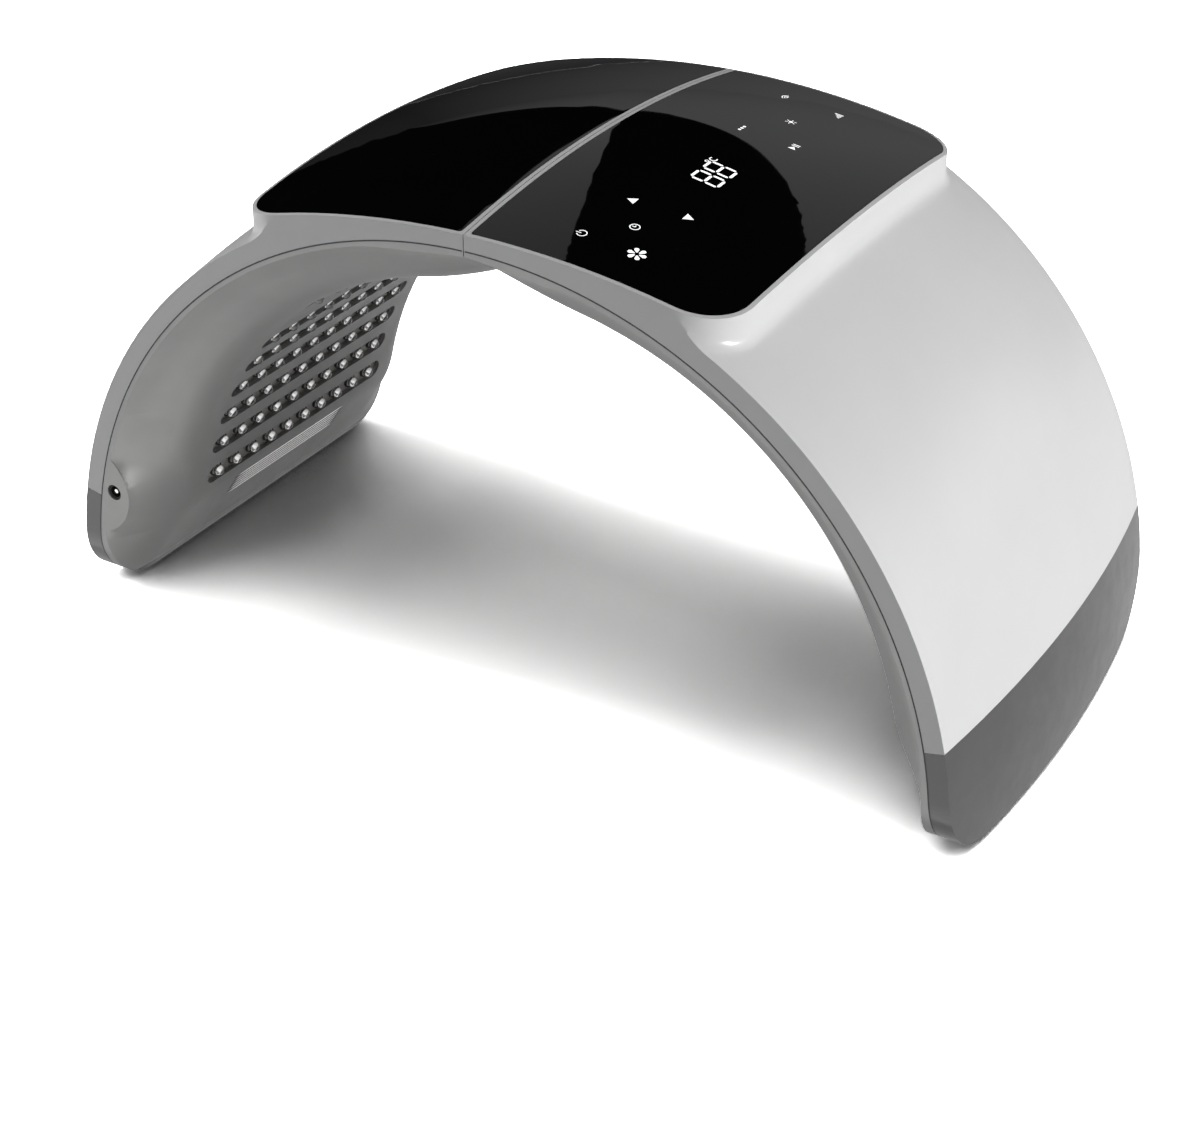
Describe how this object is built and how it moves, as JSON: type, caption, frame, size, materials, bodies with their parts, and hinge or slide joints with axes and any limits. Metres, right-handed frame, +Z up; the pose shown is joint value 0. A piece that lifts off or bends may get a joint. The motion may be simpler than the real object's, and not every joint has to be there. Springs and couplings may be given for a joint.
{
  "type": "led light therapy arch",
  "caption": "Folding arch of two hinged halves with rows of light domes on its inner side and a glass control plate on top, standing on rubber pads over a lying face.",
  "frame": {"origin": "on the surface that the arch stands on, midway between its feet and midway from front to back", "axes": "+X along the span towards the right half with the display, -Y towards the front, +Z up"},
  "size_m": [0.45, 0.225, 0.2331],
  "materials": {
    "shell_white": "gloss white with a soft pearl sheen",
    "inner_silver": "satin silver-grey paint on plastic",
    "cap_grey": "glossy dark silver-grey paint on plastic",
    "foot_rubber": "matt dark grey",
    "screw_steel": "zinc-plated",
    "hinge_steel": "satin",
    "black_glass": "polished, black behind",
    "circuit_white": "white circuit board",
    "circuit_green": "green circuit board",
    "lens_clear": "clear domes",
    "black_plastic": "fine matt",
    "display_white": "white display housing",
    "sensor_black": "dark smooth window",
    "pin_nickel": "nickel-plated",
    "coil_copper": "enamelled copper winding"
  },
  "bodies": {
    "right_half": {"right_outer_shell": "shell_white", "right_inner_shell": "inner_silver", "right_foot_cap": "cap_grey", "right_rubber_feet": "foot_rubber", "right_foot_screws": "screw_steel", "right_glass_plate": "black_glass", "right_led_boards": "circuit_white", "right_led_lenses": "lens_clear", "right_hinge_leaves": "hinge_steel", "right_hinge_screws": "screw_steel", "right_fan_frame": "black_plastic", "right_fan_screws": "screw_steel", "hinge_pins": "hinge_steel", "sensor_window": "sensor_black", "sensor_board": "circuit_green", "control_board": "circuit_green", "display_module": "display_white", "buzzer": "black_plastic", "control_board_screws": "screw_steel"},
    "left_half": {"left_outer_shell": "shell_white", "left_inner_shell": "inner_silver", "left_foot_cap": "cap_grey", "left_rubber_feet": "foot_rubber", "left_foot_screws": "screw_steel", "left_glass_plate": "black_glass", "left_led_boards": "circuit_white", "left_led_lenses": "lens_clear", "left_hinge_leaves": "hinge_steel", "left_hinge_screws": "screw_steel", "left_fan_frame": "black_plastic", "left_fan_screws": "screw_steel", "dc_jack_body": "black_plastic", "dc_jack_pin": "pin_nickel", "driver_board": "circuit_green", "driver_coil": "coil_copper", "driver_board_screws": "screw_steel"},
    "right_rotor": {"right_fan_rotor": "black_plastic"},
    "left_rotor": {"left_fan_rotor": "black_plastic"}
  },
  "joints": [
    {"name": "fold", "type": "hinge", "parent": "right_half", "child": "left_half", "pos_m": [0, 0, 0.199], "axis": [0, -1, 0], "range_deg": [0, 91]},
    {"name": "right_fan_spin", "type": "hinge", "parent": "right_half", "child": "right_rotor", "pos_m": [0.19697, 0, 0.03317], "axis": [0.8371, 0, 0.547], "continuous": true},
    {"name": "left_fan_spin", "type": "hinge", "parent": "left_half", "child": "left_rotor", "pos_m": [-0.19697, 0, 0.03317], "axis": [-0.8371, 0, 0.547], "continuous": true}
  ]
}
